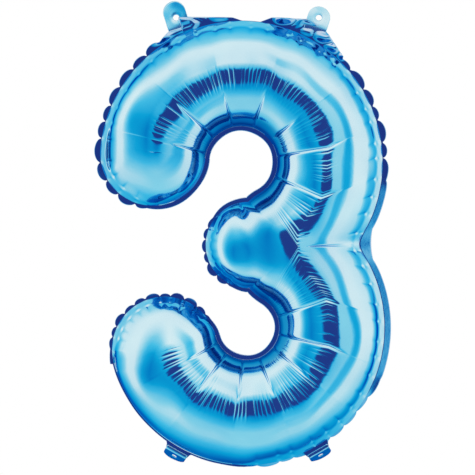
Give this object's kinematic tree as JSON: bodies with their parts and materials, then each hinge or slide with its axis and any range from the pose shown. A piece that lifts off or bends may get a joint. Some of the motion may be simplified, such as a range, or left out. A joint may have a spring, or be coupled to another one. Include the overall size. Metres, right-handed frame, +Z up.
{
  "type": "foil number balloon",
  "caption": "Inflated metallic blue foil balloon shaped as a numeral, with a welded seam, folding hanging tabs and an inflation tail with a flat valve.",
  "frame": {"origin": "midway between the eyelets of the two upper tabs, in the plane of the welded seam, on the line that a hanging thread takes", "axes": "+Z up the numeral's height, +X to the right seen from the front, the front faces -Y and +Y is through the balloon's thickness"},
  "size_m": [0.2188, 0.0572, 0.3484],
  "materials": {
    "blue_foil": "mirror-bright metallised film under a clear blue lacquer, with fine pleats",
    "blue_foil_back": "mirror-bright metallised film under a clear blue lacquer, with fine pleats",
    "foil_seam": "two metallised films heat-welded together, puckered and crumpled",
    "tab_foil": "flat welded metallised film, satin from the heat seal",
    "tail_foil": "two unwelded metallised films, softly creased",
    "valve_film": "thin milky polyethylene film",
    "valve_weld": "heat-sealed polyethylene, slightly clearer than the film"
  },
  "bodies": {
    "numeral": {"front_panel": "blue_foil", "back_panel": "blue_foil_back", "seam_rim": "foil_seam", "valve_film_front": "valve_film", "valve_film_back": "valve_film", "valve_side_welds": "valve_weld"},
    "inflation_tail": {"tail_film_front": "tail_foil", "tail_film_back": "tail_foil"},
    "top_right_tab": {"tab_top_right": "tab_foil"},
    "bottom_left_tab": {"tab_bottom_left": "tab_foil"},
    "bottom_right_tab": {"tab_bottom_right": "tab_foil"}
  },
  "joints": [
    {"name": "tail_fold", "type": "hinge", "parent": "numeral", "child": "inflation_tail", "pos_m": [-0.05053, 0, -0.00761], "axis": [0.9511, 0, 0.309], "range_deg": [-85, 85]},
    {"name": "top_right_fold", "type": "hinge", "parent": "numeral", "child": "top_right_tab", "pos_m": [0.05053, 0, -0.00761], "axis": [0.9511, 0, -0.309], "range_deg": [-85, 85]},
    {"name": "bottom_left_fold", "type": "hinge", "parent": "numeral", "child": "bottom_left_tab", "pos_m": [-0.05316, 0, -0.32339], "axis": [-0.8713, 0, 0.4907], "range_deg": [-15, 155]},
    {"name": "bottom_right_fold", "type": "hinge", "parent": "numeral", "child": "bottom_right_tab", "pos_m": [0.05313, 0, -0.32283], "axis": [-0.8661, 0, -0.4998], "range_deg": [-15, 155]}
  ]
}
